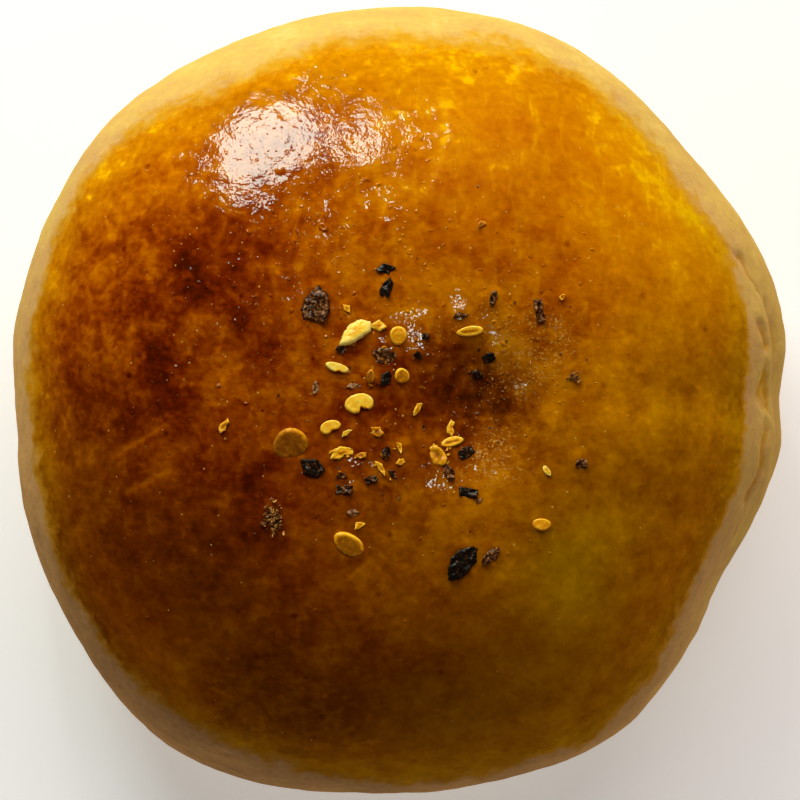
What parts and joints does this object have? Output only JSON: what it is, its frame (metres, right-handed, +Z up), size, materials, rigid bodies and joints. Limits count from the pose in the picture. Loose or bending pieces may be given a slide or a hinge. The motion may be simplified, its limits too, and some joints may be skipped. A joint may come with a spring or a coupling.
{
  "type": "tuna bun",
  "caption": "Round soft bread bun with a glossy egg-washed, dimpled crown, pale sides, a flat base and a baked-on sprinkle of dried chilli seeds and flakes.",
  "frame": {"origin": "on the flat base, under the middle of the bun's outline", "axes": "+Z up out of the crown; +X towards the wrinkled side; +Y towards the side away from the flake at the rim of the sprinkle"},
  "size_m": [0.093, 0.0952, 0.0434],
  "materials": {
    "crust": "glossy egg-washed crust",
    "chilli_seed": "dry satin seed",
    "chilli_flake": "charred glossy skin"
  },
  "bodies": {
    "root": {"bun": "crust"}
  },
  "joints": []
}
